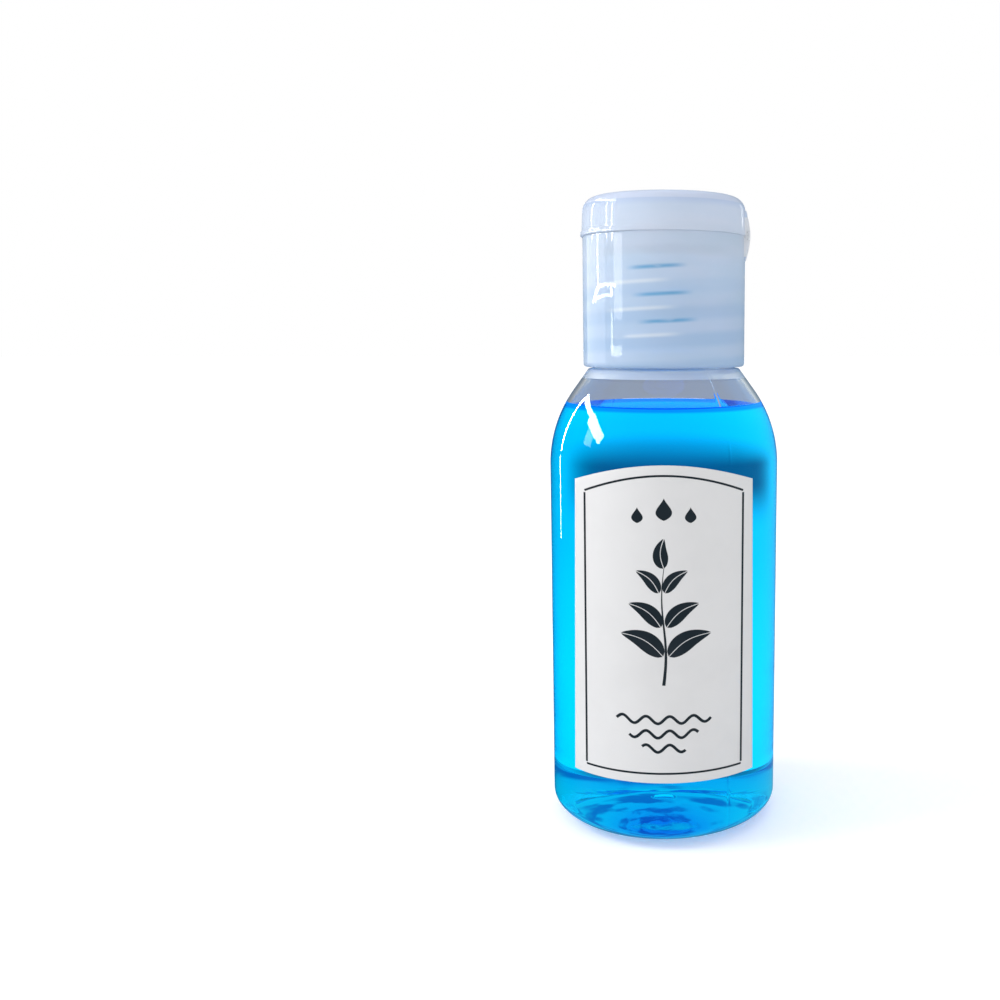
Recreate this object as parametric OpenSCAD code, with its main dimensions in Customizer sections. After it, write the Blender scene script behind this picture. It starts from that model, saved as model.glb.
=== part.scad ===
// Travel-size bottle with a flip-top screw closure, filled and labelled.
// Origin at the centre of the foot ring, +Z up, label towards -Y, lid hinge towards +X.

/* [Bottle body] */
// Outer diameter of the straight body
body_d = 28.8; // [27:0.1:32]
// Height of the straight body, up to where the shoulder starts
body_h = 45.2; // [40:0.1:50]
// Wall thickness of the blown body
body_wall = 0.55; // [0.4:0.05:0.8]
// Height of the shoulder, from the straight body to the ledge under the closure
shoulder_h = 12; // [10:0.1:13]
// Arc of the shoulder as a share of the largest arc that fits beside its cone
shoulder_arc_share = 0.934; // [0.5:0.002:0.95]

/* [Base] */
// How far the rounded heel reaches in from the wall
heel_w = 4.9; // [3:0.1:6]
// Height of the rounded heel
heel_h = 2.8; // [2:0.1:4]
// Width of the flat foot ring that the bottle stands on
foot_w = 1.2; // [0.8:0.1:2]
// Height of the domed push-up under the bottle
pushup_h = 2.4; // [1:0.1:3]
// Thickness of the bottom
base_wall = 0.9; // [0.6:0.1:1.4]
// Diameter of the moulding gate mark under the push-up
gate_d = 2.4; // [1.6:0.2:3]
// Depth of the gate mark
gate_h = 0.4; // [0.2:0.1:0.6]

/* [Neck] */
// Diameter over the neck's thread
thread_d = 17.7; // [17.4:0.1:18.1]
// Diameter of the neck's wall between the threads
neck_d = 15.6; // [15:0.1:16]
// Diameter of the neck's bore
bore_d = 12.6; // [11:0.1:13]
// Height of the neck, from the ledge to the rim
neck_h = 13.6; // [13:0.1:15]
// Diameter of the ledge that the closure covers
ledge_d = 18.9; // [18.4:0.1:19.8]
// Diameter of the collar at the foot of the neck
collar_d = 17.5; // [17:0.1:17.6]
// Height of the collar
collar_h = 1.5; // [1:0.1:2.5]

/* [Filling] */
// Height of the liquid's surface above the foot ring
fill_h = 52.8; // [20:0.2:53.2]

/* [Label] */
// Width of the label across its upper corners, seen from the front
label_top_w = 21.1; // [16:0.1:24]
// Width of the label across its lower corners, seen from the front
label_foot_w = 21.8; // [16:0.1:24]
// Height of the label's lower edge above the foot ring
label_z = 8.5; // [6:0.1:14]
// Height of the label's straight sides
label_side_h = 35.9; // [20:0.1:37]
// Rise of the arched upper edge
label_arch_h = 2.1; // [0.5:0.1:3]
// Thickness of the label's film
label_t = 0.1; // [0.06:0.01:0.2]

/* [Closure] */
// Outer diameter of the closure's skirt
cap_d = 20.2; // [20:0.1:21.5]
// Thickness of the deck that closes the top of the neck
deck_t = 1.2; // [0.8:0.1:1.6]
// Height of the lid's seat above the deck
seat_rise = 1.35; // [0.8:0.05:2]
// Height of the snap ring above the lid's seat
snap_rise = 1.05; // [0.6:0.05:1.6]
// Wall thickness of the snap ring
snap_wall = 0.8; // [0.6:0.05:1]
// Height of the snap bead on the ring
snap_bead = 0.1; // [0.05:0.01:0.15]
// Diameter of the pouring orifice
orifice_d = 3.2; // [2:0.1:5]
// Wall thickness of the pouring spout
spout_wall = 1.2; // [0.8:0.1:1.8]
// Height of the spout above the deck
spout_rise = 1.6; // [1.2:0.1:2]
// Length of the seal ring inside the neck's bore
seal_h = 2.6; // [1.6:0.1:4]
// Wall thickness of the seal ring
seal_wall = 0.8; // [0.6:0.1:1.2]

/* [Lid] */
// Height of the lid
lid_h = 4.95; // [4:0.05:6.5]
// How far the lid's rim overhangs the skirt
lid_overhang = 0.12; // [0.1:0.02:0.4]
// Draft of the lid's side, from its rim to its top
lid_draft = 0.2; // [0:0.02:0.4]
// Thickness of the lid's side wall at its rim
lid_wall = 0.95; // [0.8:0.05:1.1]
// Thickness of the lid's top
lid_top_t = 1; // [0.7:0.05:1.3]
// Radius of the lid's upper edge
lid_round = 1.7; // [0.8:0.1:2]
// Crown of the lid's top above its edge
lid_crown = 0.25; // [0:0.05:0.5]
// How far the thumb lip stands out from the lid's rim
thumb_proud = 0.15; // [0.1:0.05:0.6]
// Height of the thumb lip
thumb_h = 0.7; // [0.4:0.05:1.2]
// How deep the sealing pin reaches into the spout
pin_reach = 1.2; // [0.6:0.1:1.6]
// Diameter of the sealing pin's root under the lid
pin_root_d = 4.2; // [3.4:0.1:5.4]

/* [Living hinge] */
// Width of the hinge along its axis
hinge_w = 4.8; // [3:0.1:7]
// How far the hinge stands out from the skirt
hinge_proud = 0.48; // [0.3:0.02:0.8]
// Height of the thickened bands above and below the fold together
hinge_h = 5.9; // [4:0.1:6.5]
// Height of the thin film that folds
film_h = 1; // [0.6:0.05:1.4]
// Thickness of the film at its waist
film_t = 0.25; // [0.2:0.01:0.3]
// Thickness of the film where it meets the bands
film_root_t = 0.38; // [0.32:0.01:0.4]

/* [Clearances] */
// Gap between the skirt's foot and the bottle's ledge
foot_gap = 0.2; // [0.15:0.05:0.5]
// Radial gap between the skirt and the neck's thread
thread_gap = 0.2; // [0.15:0.05:0.4]
// Radial running gap of the seal ring in the neck's bore
seal_gap = 0.05; // [0.02:0.01:0.1]
// Radial running gap of the sealing pin in the orifice
pin_gap = 0.08; // [0.06:0.01:0.1]
// Radial gap between the snap ring and the lid
snap_gap = 0.3; // [0.25:0.01:0.4]
// Gap between the liquid and the bottle's wall
fill_gap = 0.05; // [0.02:0.01:0.1]
// Gap between the label and the bottle's wall
label_gap = 0.02; // [0.01:0.005:0.04]

/* [Hidden] */
$fn = 96;
// Segments of each arc that a profile holds
arc_steps = 10;
// Segments of each small rounded corner
corner_steps = 4;

// Overrun of every cut, and overlap of pieces that are joined
cut = 0.2;
// Radius of the small moulded edges
edge_r = 0.3;

// Bottle: radii, heights and the shoulder's tangent
body_r = body_d / 2;
ledge_r = ledge_d / 2;
ledge_z = body_h + shoulder_h;
rim_z = ledge_z + neck_h;
neck_r = neck_d / 2;
collar_r = collar_d / 2;
collar_z = ledge_z + collar_h;
bore_r = bore_d / 2;
step_in = body_r - ledge_r;
shoulder_r = shoulder_arc_share * (step_in * step_in + shoulder_h * shoulder_h) / (2 * step_in);
shoulder_x = body_r - shoulder_r;
// From the arc's centre to the ledge's edge: distance and direction
ledge_reach = norm([ledge_r - shoulder_x, shoulder_h]);
ledge_dir = atan2(shoulder_h, ledge_r - shoulder_x);
// Angle at which the arc runs into the cone
cone_a = ledge_dir - acos(shoulder_r / ledge_reach);
cone_len = sqrt(ledge_reach * ledge_reach - shoulder_r * shoulder_r);
// Where the wall starts to thicken into the neck, down the cone, and where it ends
throat_share = 0.1;
throat_rise_share = 0.1;
throat_z = ledge_z + throat_rise_share * neck_h;
foot_out_r = body_r - heel_w;
foot_in_r = foot_out_r - foot_w;
// Radius of the push-up's dome, from its chord and its rise
dome_r = (foot_in_r * foot_in_r + pushup_h * pushup_h) / (2 * pushup_h);

// Closure: radii and heights
cap_r = cap_d / 2;
cap_z = ledge_z + foot_gap;
skirt_in_r = thread_d / 2 + thread_gap;
deck_z = rim_z + deck_t;
parting_z = deck_z + seat_rise;
snap_z = parting_z + snap_rise;
spout_z = deck_z + spout_rise;
orifice_r = orifice_d / 2;
spout_r = orifice_r + spout_wall;
seal_r = bore_r - seal_gap;

// Lid: radii and heights
lid_r = cap_r + lid_overhang;
lid_in_r = lid_r - lid_wall;
lid_top_r = lid_r - lid_draft;
lid_top_z = parting_z + lid_h;
lid_edge_z = lid_top_z - lid_crown;
lid_ceiling_z = lid_edge_z - lid_top_t;
snap_r = lid_in_r - snap_gap;
pin_r = orifice_r - pin_gap;
pin_tip_z = spout_z - pin_reach;

// Hinge: the fold's line and the arc of its bulge
hinge_x = cap_r + hinge_proud;
half_bulge = hinge_h / 2;
bulge_r = (half_bulge * half_bulge + hinge_proud * hinge_proud) / (2 * hinge_proud);
hinge_root_x = lid_in_r + edge_r / 2;

// Unit vector along v
function unit(v) = v / norm(v);

// Points of an arc about c with half axes rx and rz, as profile points without rounding
function arc(c, rx, rz, from, to) =
    [for (i = [0:arc_steps]) let (a = from + (to - from) * i / arc_steps)
        [c.x + rx * cos(a), c.y + rz * sin(a), 0]];

// Points of the arc that rounds corner b between its neighbours a and c
function corner(a, b, c, r) =
    let (
        u = unit(a - b),
        v = unit(c - b),
        half = acos(u * v) / 2,
        o = b + unit(u + v) * r / sin(half),
        s = b + u * r / tan(half) - o,
        e = b + v * r / tan(half) - o,
        start = atan2(s.y, s.x),
        swing = atan2(e.y, e.x) - start,
        turn = swing > 180 ? swing - 360 : swing < -180 ? swing + 360 : swing
    )
    [for (i = [0:corner_steps]) let (q = start + turn * i / corner_steps) o + r * [cos(q), sin(q)]];

// A profile from points [radius, height, rounding]
function rounded(pts) =
    let (n = len(pts), flat = [for (p = pts) [p.x, p.y]])
    [for (i = [0:n - 1])
        each (pts[i].z == 0
            ? [flat[i]]
            : corner(flat[(i + n - 1) % n], flat[i], flat[(i + 1) % n], pts[i].z))];

// Solid of revolution of such a profile
module turned(pts) {
    rotate_extrude() polygon(rounded(pts));
}

// Outer profile of the bottle, from the push-up's centre to the neck's rim
function bottle_outside() = concat(
    [for (i = [0:arc_steps]) let (a = asin(foot_in_r / dome_r) * i / arc_steps)
        [dome_r * sin(a), pushup_h - dome_r * (1 - cos(a)), 0]],
    arc([foot_out_r, heel_h], heel_w, heel_h, -90, 0),
    arc([shoulder_x, body_h], shoulder_r, shoulder_r, 0, cone_a),
    [
        [ledge_r, ledge_z, edge_r],
        [collar_r, ledge_z, edge_r],
        [collar_r, collar_z, edge_r],
        [neck_r, collar_z + collar_r - neck_r, edge_r],
        [neck_r, rim_z, edge_r]
    ]
);

// Inner profile of the bottle, from the neck's bore down to the bottom's centre, g inside the wall
function bottle_inside(g) =
    let (
        w = body_wall + g,
        b = base_wall + g,
        throat = [ledge_r - w * cos(cone_a), ledge_z - w * sin(cone_a)]
            + throat_share * cone_len * [sin(cone_a), -cos(cone_a)]
    )
    concat(
        [[bore_r - g, throat_z, body_wall], [throat.x, throat.y, body_wall]],
        arc([shoulder_x, body_h], shoulder_r - w, shoulder_r - w, cone_a, 0),
        arc([foot_out_r, heel_h], heel_w - w, heel_h - b, 0, -90),
        [for (i = [arc_steps:-1:0]) let (a = asin(foot_in_r / dome_r) * i / arc_steps)
            [dome_r * sin(a), pushup_h + b - dome_r * (1 - cos(a)), 0]]
    );

// Blow-moulded bottle: one shell with its push-up, heel, shoulder and neck
module bottle() {
    color([0.80, 0.90, 0.96, 0.35]) {
        turned(concat(bottle_outside(), [[bore_r, rim_z, edge_r]], bottle_inside(0)));
        gate_top = pushup_h + base_wall / 2;
        translate([0, 0, pushup_h - gate_h]) cylinder(h = gate_top - pushup_h + gate_h, d = gate_d);
    }
}

// The liquid: the bottle's inside up to its level surface
module mouthwash() {
    color([0.0, 0.70, 0.98, 0.8])
        rotate_extrude() intersection() {
            polygon(rounded(concat([[0, rim_z, 0], [bore_r - fill_gap, rim_z, 0]], bottle_inside(fill_gap))));
            square([body_r, fill_h]);
        }
}

// The label's outline, seen from the front
module label_outline() {
    top_x = label_top_w / 2;
    foot_x = label_foot_w / 2;
    side_z = label_z + label_side_h;
    arch_r = (top_x * top_x + label_arch_h * label_arch_h) / (2 * label_arch_h);
    arch_a = asin(top_x / arch_r);
    polygon(concat(
        [[-foot_x, label_z], [foot_x, label_z]],
        [for (i = [0:2 * arc_steps]) let (a = arch_a * (1 - i / arc_steps))
            [arch_r * sin(a), side_z + label_arch_h - arch_r * (1 - cos(a))]]
    ));
}

// Self-adhesive label on the front of the body
module label() {
    in_r = body_r + label_gap;
    out_r = in_r + label_t;
    color([0.86, 0.86, 0.87]) intersection() {
        translate([0, 0, label_z]) difference() {
            cylinder(h = label_side_h + label_arch_h, r = out_r);
            translate([0, 0, -cut]) cylinder(h = label_side_h + label_arch_h + 2 * cut, r = in_r);
        }
        rotate([90, 0, 0]) linear_extrude(height = out_r) label_outline();
    }
}

// Seal ring that plugs the neck's bore under the deck
module bore_seal() {
    tip_z = rim_z - seal_h;
    color([0.86, 0.90, 0.95]) turned([
        [seal_r - seal_wall, tip_z, 0],
        [seal_r - seal_wall / 2, tip_z, 0],
        [seal_r, tip_z + seal_wall, 0],
        [seal_r, rim_z, 0],
        [seal_r - seal_wall, rim_z, 0]
    ]);
}

// Bulged band behind the closure that carries the fold, between two heights
module hinge_band(low_z, high_z) {
    intersection() {
        translate([hinge_x - bulge_r, 0, parting_z]) rotate([90, 0, 0])
            cylinder(h = hinge_w, r = bulge_r, center = true);
        translate([hinge_root_x, -hinge_w / 2, low_z])
            cube([hinge_x - hinge_root_x, hinge_w, high_z - low_z]);
    }
}

// Screw skirt with its deck, pouring spout, snap ring and lower hinge band
module closure_base() {
    color([0.78, 0.84, 0.93]) difference() {
        union() {
            turned([
                [skirt_in_r, cap_z, edge_r / 2],
                [cap_r, cap_z, edge_r],
                [cap_r, parting_z, 0],
                [snap_r, parting_z, 0],
                [snap_r, snap_z - 3 * edge_r, 0],
                [snap_r + snap_bead, snap_z - 2 * edge_r, 0],
                [snap_r, snap_z, edge_r / 2],
                [snap_r - snap_wall, snap_z, edge_r / 2],
                [snap_r - snap_wall, deck_z, edge_r],
                [spout_r, deck_z, edge_r],
                [spout_r, spout_z, edge_r],
                [0, spout_z, 0],
                [0, rim_z, 0],
                [skirt_in_r, rim_z, 0]
            ]);
            hinge_band(parting_z - half_bulge, parting_z - film_h / 2);
        }
        translate([0, 0, rim_z - cut]) cylinder(h = spout_z - rim_z + 2 * cut, r = orifice_r);
    }
}

// Thin film between the two hinge bands, which folds as the lid opens, waisted on its inner side
module living_hinge() {
    waist = film_root_t - film_t;
    color([0.82, 0.87, 0.94]) translate([0, 0, parting_z]) rotate([90, 0, 0])
        linear_extrude(height = hinge_w, center = true) polygon([
            [hinge_x, -film_h / 2],
            [hinge_x, film_h / 2],
            each [for (p = arc([hinge_x - film_root_t, 0], waist, film_h / 2, 90, -90)) [p.x, p.y]]
        ]);
}

// Flip lid: crowned cup with its thumb lip and the upper hinge band
module lid() {
    color([0.80, 0.86, 0.95]) difference() {
        union() {
            turned([
                [lid_in_r, parting_z, edge_r / 2],
                [lid_r, parting_z, edge_r / 2],
                [lid_top_r, lid_edge_z, lid_round],
                [0, lid_top_z, 0],
                [0, lid_ceiling_z, 0],
                [lid_in_r - lid_draft, lid_ceiling_z, edge_r]
            ]);
            hinge_band(parting_z + film_h / 2, parting_z + half_bulge);
            difference() {
                translate([-thumb_proud, 0, parting_z]) cylinder(h = thumb_h, r = lid_r);
                translate([0, 0, parting_z - cut]) cylinder(h = thumb_h + 2 * cut, r = lid_in_r + lid_wall / 2);
            }
        }
        translate([cap_r, -hinge_w / 2, parting_z - cut])
            cube([hinge_proud + cut, hinge_w, cut + film_h / 2]);
    }
}

// Pin under the lid that plugs the orifice
module sealing_pin() {
    neck_z = spout_z + edge_r;
    color([0.86, 0.90, 0.95]) turned([
        [0, pin_tip_z, 0],
        [pin_r, pin_tip_z, edge_r],
        [pin_r, neck_z, 0],
        [pin_root_d / 2, lid_ceiling_z, 0],
        [0, lid_ceiling_z, 0]
    ]);
}

bottle();
mouthwash();
label();
bore_seal();
closure_base();
living_hinge();
lid();
sealing_pin();
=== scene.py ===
import math

import bmesh
import bpy
from mathutils import Matrix, Vector, noise


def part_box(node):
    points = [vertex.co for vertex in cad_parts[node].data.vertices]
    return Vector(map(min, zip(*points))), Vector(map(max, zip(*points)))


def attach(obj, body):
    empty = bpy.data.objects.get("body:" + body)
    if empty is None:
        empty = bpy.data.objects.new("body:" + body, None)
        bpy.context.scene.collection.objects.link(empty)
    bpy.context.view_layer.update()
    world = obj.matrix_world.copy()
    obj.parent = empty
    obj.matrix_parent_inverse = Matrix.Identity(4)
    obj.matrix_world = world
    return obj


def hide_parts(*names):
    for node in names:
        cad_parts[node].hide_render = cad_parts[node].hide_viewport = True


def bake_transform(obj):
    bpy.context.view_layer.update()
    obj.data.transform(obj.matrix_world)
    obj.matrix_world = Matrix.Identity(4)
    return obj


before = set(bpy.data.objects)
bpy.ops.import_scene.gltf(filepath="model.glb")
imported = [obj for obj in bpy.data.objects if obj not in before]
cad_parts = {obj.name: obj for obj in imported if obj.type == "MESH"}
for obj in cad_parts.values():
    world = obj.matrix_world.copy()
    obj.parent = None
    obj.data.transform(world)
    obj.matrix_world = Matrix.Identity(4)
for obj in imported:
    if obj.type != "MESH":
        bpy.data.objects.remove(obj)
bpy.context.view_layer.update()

# Bottle
# One blow-moulded shell of clear PET: thick at the neck and the gate, thin in the body.
# The threaded neck carries the closure, and everything else is fixed to or held in this shell.
MM = 0.001
bottle_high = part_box("bottle")[1]
body_r = bottle_high.x
rim_z = bottle_high.z
body_h = 45.2 * MM
shoulder_h = 12 * MM
shoulder_arc_share = 0.934
body_wall = 0.55 * MM
base_wall = 0.9 * MM
heel_w, heel_h = 4.9 * MM, 2.8 * MM
foot_w = 1.2 * MM
pushup_h = 2.4 * MM
gate_r, gate_h = 1.2 * MM, 0.4 * MM
ledge_r = 9.45 * MM
ledge_z = body_h + shoulder_h
neck_r, bore_r = 7.8 * MM, 6.3 * MM
collar_r, collar_h = 8.75 * MM, 1.5 * MM
edge_r = 0.3 * MM
throat_share = 0.1
thread_pitch = 3.175 * MM
thread_r = 8.85 * MM
thread_turns = 1.6
thread_z = rim_z - 1.3 * MM
thread_angle = math.radians(-90 + 25)
thread_crest_w, thread_root_w = 0.3 * MM, 0.85 * MM
thread_fade = 0.14
seam_angle = math.radians(-90 + 33)
seam_h, seam_w = 0.03 * MM, 0.14 * MM
ripple_h, ripple_len = 0.009 * MM, 11 * MM
sharp_angle = math.radians(42)

step_in = body_r - ledge_r
shoulder_r = shoulder_arc_share * (step_in ** 2 + shoulder_h ** 2) / (2 * step_in)
shoulder_x = body_r - shoulder_r
cone_a = (math.atan2(shoulder_h, ledge_r - shoulder_x)
          - math.acos(shoulder_r / math.hypot(ledge_r - shoulder_x, shoulder_h)))
cone_len = math.sqrt((ledge_r - shoulder_x) ** 2 + shoulder_h ** 2 - shoulder_r ** 2)
foot_out_r = body_r - heel_w
foot_in_r = foot_out_r - foot_w
dome_r = (foot_in_r ** 2 + pushup_h ** 2) / (2 * pushup_h)


def arc(x, z, rx, rz, start, end, steps=14):
    """Points of an elliptical arc about (x, z), with angles in radians."""
    turns = [start + (end - start) * i / steps for i in range(steps + 1)]
    return [(x + rx * math.cos(a), z + rz * math.sin(a), 0) for a in turns]


def rounded(points, steps=4):
    """(radius, height) points from (radius, height, rounding) corners."""
    out = []
    for i, (x, z, r) in enumerate(points):
        here = Vector((x, z))
        if not r:
            out.append((x, z))
            continue
        back = (Vector(points[i - 1][:2]) - here).normalized()
        ahead = (Vector(points[(i + 1) % len(points)][:2]) - here).normalized()
        half = back.angle(ahead) / 2
        centre = here + (back + ahead).normalized() * (r / math.sin(half))
        start = here + back * (r / math.tan(half)) - centre
        turn = start.angle_signed(here + ahead * (r / math.tan(half)) - centre)
        for k in range(steps + 1):
            a = math.atan2(start.y, start.x) - turn * k / steps
            out.append((centre.x + r * math.cos(a), centre.y + r * math.sin(a)))
    return out


def fine(points, step):
    """The same outline with its long stretches cut into short ones."""
    out = []
    for (x0, z0), (x1, z1) in zip(points, points[1:]):
        n = max(1, math.ceil(math.hypot(x1 - x0, z1 - z0) / step))
        out += [(x0 + (x1 - x0) * k / n, z0 + (z1 - z0) * k / n) for k in range(n)]
    return out + [points[-1]]


def piece(name, verts, faces, material):
    """A smooth closed mesh with its normals outwards."""
    mesh = bpy.data.meshes.new(name)
    mesh.from_pydata(verts, [], faces)
    bm = bmesh.new()
    bm.from_mesh(mesh)
    bmesh.ops.remove_doubles(bm, verts=bm.verts, dist=1e-8)
    bmesh.ops.recalc_face_normals(bm, faces=bm.faces)
    bm.to_mesh(mesh)
    bm.free()
    mesh.shade_smooth()
    mesh.set_sharp_from_angle(angle=sharp_angle)
    mesh.materials.append(material)
    made = bpy.data.objects.new(name, mesh)
    bpy.context.scene.collection.objects.link(made)
    return made


def turned(name, outline, material, shape=None, angles=192, closed=False):
    """A body of revolution from (radius, height) points; shape(r, z, angle) may move a point."""
    if isinstance(angles, int):
        angles = [2 * math.pi * k / angles for k in range(angles)]
    place = shape or (lambda r, z, a: (r * math.cos(a), r * math.sin(a), z))
    verts, rows = [], []
    for r, z in outline:
        if r < 1e-7:
            rows.append([len(verts)] * len(angles))
            verts.append((0, 0, place(0, z, 0)[2]))
        else:
            rows.append(list(range(len(verts), len(verts) + len(angles))))
            verts += [place(r, z, a) for a in angles]
    faces = []
    for low, high in zip(rows, rows[1:] + ([rows[0]] if closed else [])):
        for k in range(len(angles)):
            j = (k + 1) % len(angles)
            corners = list(dict.fromkeys((low[k], low[j], high[j], high[k])))
            if len(corners) > 2:
                faces.append(corners)
    return piece(name, verts, faces, material)


def thread(z, a, start_z, turns, crest, root):
    """Height share at height z and angle a of a right-hand thread that runs down from start_z."""
    turn = math.remainder(a - thread_angle, 2 * math.pi) / (2 * math.pi)
    climb = (z - start_z) / thread_pitch - turn
    lap = round(climb)
    run = -(lap + turn)
    off = abs(climb - lap) * thread_pitch
    flank = min(1, max(0, (root - off) / (root - crest)))
    fade = min(1, max(0, run / thread_fade), max(0, (turns - run) / thread_fade))
    return flank * max(0, fade)


def ripple(z, a):
    """Slight unevenness of the blown wall, always inwards and the same on its two sides."""
    at = Vector((1.1 * math.cos(a), 1.1 * math.sin(a), z / ripple_len))
    return ripple_h * (noise.noise(at) + 0.4 * noise.noise(at * 2.7 + Vector((5, 3, 1))) - 1.4)


def bottle_outside():
    """Outer outline, from the gate to the neck's rim."""
    dome = math.asin(foot_in_r / dome_r)
    gate_edge = math.asin(gate_r / dome_r)
    steps = [gate_edge + (dome - gate_edge) * i / 16 for i in range(17)]
    return (
        [(0, pushup_h - gate_h, 0), (gate_r, pushup_h - gate_h, 0.1 * MM)]
        + [(dome_r * math.sin(a), pushup_h - dome_r * (1 - math.cos(a)), 0) for a in steps]
        + arc(foot_out_r, heel_h, heel_w, heel_h, -math.pi / 2, 0, 20)
        + arc(shoulder_x, body_h, shoulder_r, shoulder_r, 0, cone_a, 24)
        + [(ledge_r, ledge_z, edge_r), (collar_r, ledge_z, edge_r),
           (collar_r, ledge_z + collar_h, edge_r), (neck_r, ledge_z + collar_h + collar_r - neck_r, edge_r),
           (neck_r, rim_z, edge_r)]
    )


def bottle_inside(gap):
    """Inner outline from the bore down to the bottom's centre, gap inside the wall."""
    w, b = body_wall + gap, base_wall + gap
    throat_x = ledge_r - w * math.cos(cone_a) + throat_share * cone_len * math.sin(cone_a)
    throat_z = ledge_z - w * math.sin(cone_a) - throat_share * cone_len * math.cos(cone_a)
    dome = math.asin(foot_in_r / dome_r)
    steps = [dome * i / 14 for i in range(14, -1, -1)]
    return (
        [(bore_r - gap, ledge_z + 0.1 * (rim_z - ledge_z), body_wall), (throat_x, throat_z, body_wall)]
        + arc(shoulder_x, body_h, shoulder_r - w, shoulder_r - w, cone_a, 0, 24)
        + arc(foot_out_r, heel_h, heel_w - w, heel_h - b, 0, -math.pi / 2, 16)
        + [(dome_r * math.sin(a), pushup_h + b - dome_r * (1 - math.cos(a)), 0) for a in steps]
    )


def bottle_shape(r, z, a):
    """Adds the thread, the mould's seams and the wall's ripple to the turned bottle."""
    if z > ledge_z + collar_h and r > (neck_r + bore_r) / 2:
        r += (thread_r - neck_r) * thread(z, a, thread_z, thread_turns, thread_crest_w, thread_root_w)
    elif r > foot_in_r and z < ledge_z:
        off = abs(math.remainder(a - seam_angle, math.pi)) * r
        outer = r > body_r - body_wall / 2 or z > body_h or z < heel_h
        r += ripple(z, a)
        if outer and off < 3 * seam_w:
            r += seam_h * math.exp(-(off / seam_w) ** 2)
    return r * math.cos(a), r * math.sin(a), z


def nodes_of(name):
    """A new material, with its node tree and its Principled shader."""
    made = bpy.data.materials.new(name)
    made.use_nodes = True
    return made, made.node_tree, made.node_tree.nodes["Principled BSDF"]


def add(tree, kind, links=(), **values):
    """A node in tree, with sockets set by name and links from (socket name, other socket)."""
    node = tree.nodes.new(kind)
    for key, value in values.items():
        if hasattr(node, key):
            setattr(node, key, value)
        else:
            node.inputs[key.replace("_", " ")].default_value = value
    for name, source in links:
        tree.links.new(source, node.inputs[name])
    return node


def calc(tree, kind, first, second):
    """A math node of that kind on two values, each a socket or a plain number."""
    node = add(tree, "ShaderNodeMath", operation=kind)
    for k, value in enumerate((first, second)):
        if isinstance(value, float):
            node.inputs[k].default_value = value
        else:
            tree.links.new(value, node.inputs[k])
    return node.outputs[0]


def ramp(tree, value, low, high, **ends):
    """How far a value has come on its way from low to high, eased at both ends."""
    return add(tree, "ShaderNodeMapRange", [("Value", value)], interpolation_type="SMOOTHSTEP",
               From_Min=low, From_Max=high, **ends).outputs[0]


def blended(tree, share, first, second):
    """Colour between first, a colour or a socket, and second."""
    node = add(tree, "ShaderNodeMix", [("Factor", share)], data_type="RGBA", B=second)
    if isinstance(first, tuple):
        node.inputs["A"].default_value = first
    else:
        tree.links.new(first, node.inputs["A"])
    return node.outputs["Result"]


def shader_between(tree, share, first, second):
    """Shader between first and second."""
    return add(tree, "ShaderNodeMixShader", [(0, share), (1, first), (2, second)]).outputs[0]


def clouds(tree, scale, detail, flat=1):
    """Soft noise through a piece, squeezed in height by the factor flat."""
    where = add(tree, "ShaderNodeTexCoord").outputs["Object"]
    if flat > 1:
        where = add(tree, "ShaderNodeMapping", [("Vector", where)], Scale=(1, 1, flat)).outputs[0]
    return add(tree, "ShaderNodeTexNoise", [("Vector", where)], Scale=scale, Detail=detail).outputs["Fac"]


def moulded_surface():
    """Node group: the fine unevenness of a moulded skin, as a height, and its rubbed patches, as a mask."""
    group = bpy.data.node_groups.new("moulded_surface", "ShaderNodeTree")
    for name, value in (("Ripple Scale", 250.0), ("Ripple Amount", 0.5),
                        ("Grain Scale", 4000.0), ("Grain Amount", 0.2)):
        group.interface.new_socket(name, in_out="INPUT", socket_type="NodeSocketFloat").default_value = value
    for name in ("Height", "Rubbed"):
        group.interface.new_socket(name, in_out="OUTPUT", socket_type="NodeSocketFloat")
    come = group.nodes.new("NodeGroupInput")
    leave = group.nodes.new("NodeGroupOutput")
    where = add(group, "ShaderNodeTexCoord").outputs["Object"]
    heights = []
    for name, detail in (("Ripple", 1.0), ("Grain", 3.0)):
        bumps = add(group, "ShaderNodeTexNoise",
                    [("Vector", where), ("Scale", come.outputs[name + " Scale"])], Detail=detail)
        heights.append(calc(group, "MULTIPLY", bumps.outputs["Fac"], come.outputs[name + " Amount"]))
    rubbed = add(group, "ShaderNodeMapRange", [("Value", clouds(group, 180.0, 4.0))],
                 From_Min=0.45, From_Max=0.75)
    group.links.new(calc(group, "ADD", *heights), leave.inputs["Height"])
    group.links.new(rubbed.outputs[0], leave.inputs["Rubbed"])
    return group


moulded = moulded_surface()
skin_depth = 0.02 * MM


def moulded_finish(tree, shader, low, high, bump, **amounts):
    """Feeds the moulded surface into a shader: roughness from low to high, and a bump of that strength."""
    skin = add(tree, "ShaderNodeGroup", node_tree=moulded)
    for key, value in amounts.items():
        skin.inputs[key.replace("_", " ")].default_value = value
    rough = add(tree, "ShaderNodeMapRange", [("Value", skin.outputs["Rubbed"])], To_Min=low, To_Max=high)
    raised = add(tree, "ShaderNodeBump", [("Height", skin.outputs["Height"])],
                 Strength=bump, Distance=skin_depth)
    tree.links.new(rough.outputs[0], shader.inputs["Roughness"])
    tree.links.new(raised.outputs[0], shader.inputs["Normal"])
    return skin


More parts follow.
